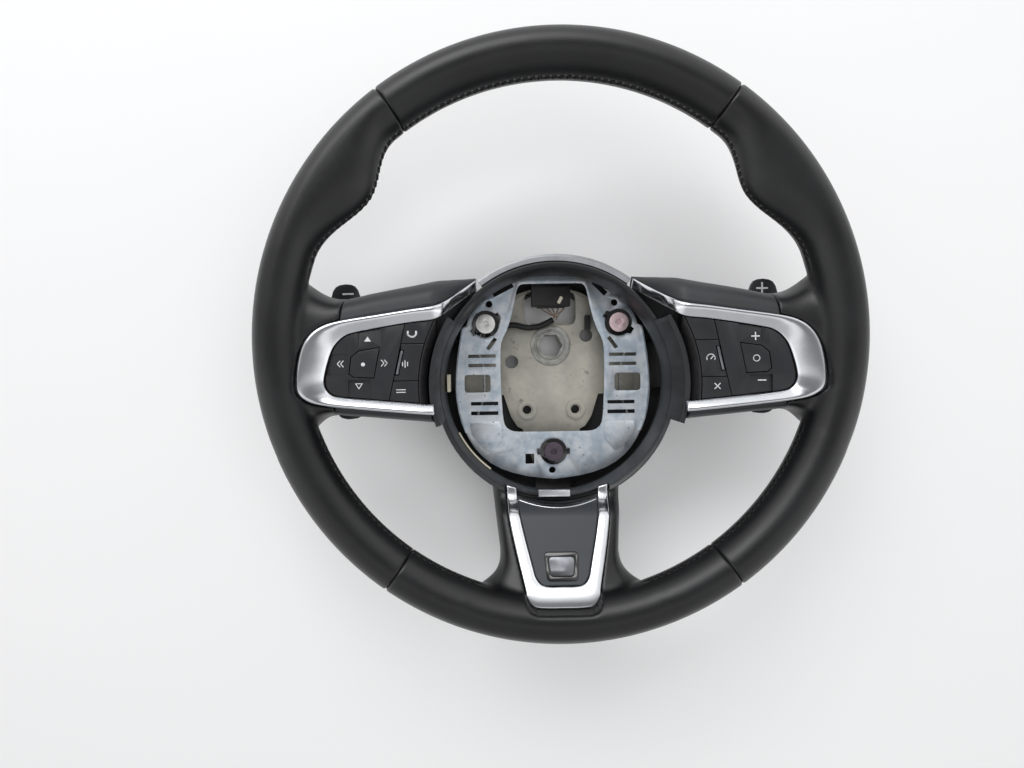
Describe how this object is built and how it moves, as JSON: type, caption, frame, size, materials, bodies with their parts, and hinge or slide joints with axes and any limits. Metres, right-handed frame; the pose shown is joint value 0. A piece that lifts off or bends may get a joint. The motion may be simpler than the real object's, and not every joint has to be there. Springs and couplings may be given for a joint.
{
  "type": "car steering wheel",
  "caption": "Three-spoke car steering wheel with a stitched leather rim, spoke switches and shift paddles; the open hub shows its horn plate.",
  "frame": {"origin": "on the hub axis, in the plane of the rear collar that the wheel rests on", "axes": "+X to the driver's right, +Y to twelve o'clock, +Z along the column towards the driver"},
  "size_m": [0.375, 0.375, 0.1199],
  "materials": {
    "cast_magnesium": "sand-cast, greyish beige, matt",
    "steel_insert": "turned, dull",
    "foam": "moulded foam skin",
    "rim_leather": "smooth black leather with a fine grain, stitched",
    "soft_skin": "fine-grained dark grey",
    "black_plastic": "moulded black, satin",
    "satin_chrome": "satin chrome plating",
    "circuit_board": "green solder resist",
    "pale_plastic": "natural acetal",
    "key_plastic": "fine-grained dark grey, soft-touch",
    "marker_plastic": "pale grey",
    "zinc_steel": "zinc plated with a bluish passivation",
    "bushing_plastic": "glossy black",
    "pin_steel": "bright",
    "spring_wire": "bright drawn wire",
    "cream_plastic": "aged cream",
    "lead_insulation": "thin insulated leads",
    "loom_tape": "black cloth tape",
    "paddle_plastic": "dark grey, satin gloss"
  },
  "bodies": {
    "wheel": {"armature": "cast_magnesium", "hub_insert": "steel_insert", "rim_foam": "foam", "leather_top": "rim_leather", "leather_right": "rim_leather", "leather_bottom": "rim_leather", "leather_left": "rim_leather", "spoke_cover_right": "soft_skin", "spoke_cover_left": "soft_skin", "hub_shroud": "soft_skin", "rear_cover": "black_plastic", "bezel_right": "satin_chrome", "bezel_left": "satin_chrome", "arc_trim": "satin_chrome", "lower_trim": "satin_chrome", "lower_panel": "soft_skin", "lower_clip": "satin_chrome", "badge_frame": "black_plastic", "badge_insert": "satin_chrome", "switch_housing_left": "black_plastic", "switch_board_left": "circuit_board", "marker_bar_left": "marker_plastic", "switch_housing_right": "black_plastic", "switch_board_right": "circuit_board", "marker_bar_right": "marker_plastic", "guide_pins": "pin_steel", "horn_spring_left": "spring_wire", "horn_spring_right": "spring_wire", "horn_spring_lower": "spring_wire", "side_clip": "cream_plastic", "connector": "bushing_plastic", "connector_leads": "lead_insulation", "loom": "loom_tape", "paddle_pin_right": "pin_steel", "paddle_base_right": "black_plastic", "paddle_pin_left": "pin_steel", "paddle_base_left": "black_plastic"},
    "horn_plate": {"horn_plate": "zinc_steel", "bushing_left": "bushing_plastic", "bushing_right": "bushing_plastic", "bushing_lower": "bushing_plastic", "snap_wire_left": "spring_wire", "snap_wire_right": "spring_wire"},
    "gimbal_left": {"gimbal_left": "pale_plastic"},
    "rocker_left": {"rocker_left": "key_plastic"},
    "centre_button_left": {"centre_button_left": "key_plastic"},
    "call_button": {"call_button": "key_plastic"},
    "voice_button": {"voice_button": "key_plastic"},
    "mode_button": {"mode_button": "key_plastic"},
    "rocker_right": {"rocker_right": "key_plastic"},
    "centre_button_right": {"centre_button_right": "key_plastic"},
    "blank_button": {"blank_button": "key_plastic"},
    "limit_button": {"limit_button": "key_plastic"},
    "cancel_button": {"cancel_button": "key_plastic"},
    "paddle_right": {"paddle_right": "paddle_plastic"},
    "paddle_left": {"paddle_left": "paddle_plastic"}
  },
  "joints": [
    {"name": "horn_press", "type": "slide", "parent": "wheel", "child": "horn_plate", "axis": [0, 0, -1], "range_m": [0, 0.0016], "stiffness_N_per_m": 6000, "springref_m": -0.004, "deforming": ["horn_spring_left", "horn_spring_right", "horn_spring_lower"]},
    {"name": "left_rocker_up_down", "type": "hinge", "parent": "wheel", "child": "gimbal_left", "pos_m": [-0.12109, -0.0125, 0.09426], "axis": [0.9968, 0, -0.0797], "range_deg": [-2.2, 2.2], "stiffness_Nm_per_rad": 0.3},
    {"name": "left_rocker_side", "type": "hinge", "parent": "gimbal_left", "child": "rocker_left", "pos_m": [-0.12109, -0.0125, 0.09426], "axis": [0, 1, 0], "range_deg": [-2.2, 2.2], "stiffness_Nm_per_rad": 0.3},
    {"name": "right_rocker_up_down", "type": "hinge", "parent": "wheel", "child": "rocker_right", "pos_m": [0.12109, -0.0125, 0.09426], "axis": [0.9968, 0, 0.0797], "range_deg": [-2.2, 2.2], "stiffness_Nm_per_rad": 0.3},
    {"name": "left_centre_press", "type": "slide", "parent": "wheel", "child": "centre_button_left", "axis": [-0.0797, 0, -0.9968], "range_m": [0, 0.0008], "stiffness_N_per_m": 600, "springref_m": -0.002},
    {"name": "call_press", "type": "slide", "parent": "wheel", "child": "call_button", "axis": [-0.0797, 0, -0.9968], "range_m": [0, 0.0008], "stiffness_N_per_m": 600, "springref_m": -0.002},
    {"name": "voice_press", "type": "slide", "parent": "wheel", "child": "voice_button", "axis": [-0.0797, 0, -0.9968], "range_m": [0, 0.0008], "stiffness_N_per_m": 600, "springref_m": -0.002},
    {"name": "mode_press", "type": "slide", "parent": "wheel", "child": "mode_button", "axis": [-0.0797, 0, -0.9968], "range_m": [0, 0.0008], "stiffness_N_per_m": 600, "springref_m": -0.002},
    {"name": "right_centre_press", "type": "slide", "parent": "wheel", "child": "centre_button_right", "axis": [0.0797, 0, -0.9968], "range_m": [0, 0.0008], "stiffness_N_per_m": 600, "springref_m": -0.002},
    {"name": "blank_press", "type": "slide", "parent": "wheel", "child": "blank_button", "axis": [0.0797, 0, -0.9968], "range_m": [0, 0.0008], "stiffness_N_per_m": 600, "springref_m": -0.002},
    {"name": "limit_press", "type": "slide", "parent": "wheel", "child": "limit_button", "axis": [0.0797, 0, -0.9968], "range_m": [0, 0.0008], "stiffness_N_per_m": 600, "springref_m": -0.002},
    {"name": "cancel_press", "type": "slide", "parent": "wheel", "child": "cancel_button", "axis": [0.0797, 0, -0.9968], "range_m": [0, 0.0008], "stiffness_N_per_m": 600, "springref_m": -0.002},
    {"name": "paddle_right_pull", "type": "hinge", "parent": "wheel", "child": "paddle_right", "pos_m": [0.112, -0.008, 0.064], "axis": [0, -1, 0], "range_deg": [0, 5], "stiffness_Nm_per_rad": 1, "springref_deg": -5.73},
    {"name": "paddle_left_pull", "type": "hinge", "parent": "wheel", "child": "paddle_left", "pos_m": [-0.112, -0.008, 0.064], "axis": [0, 1, 0], "range_deg": [0, 5], "stiffness_Nm_per_rad": 1, "springref_deg": -5.73}
  ]
}
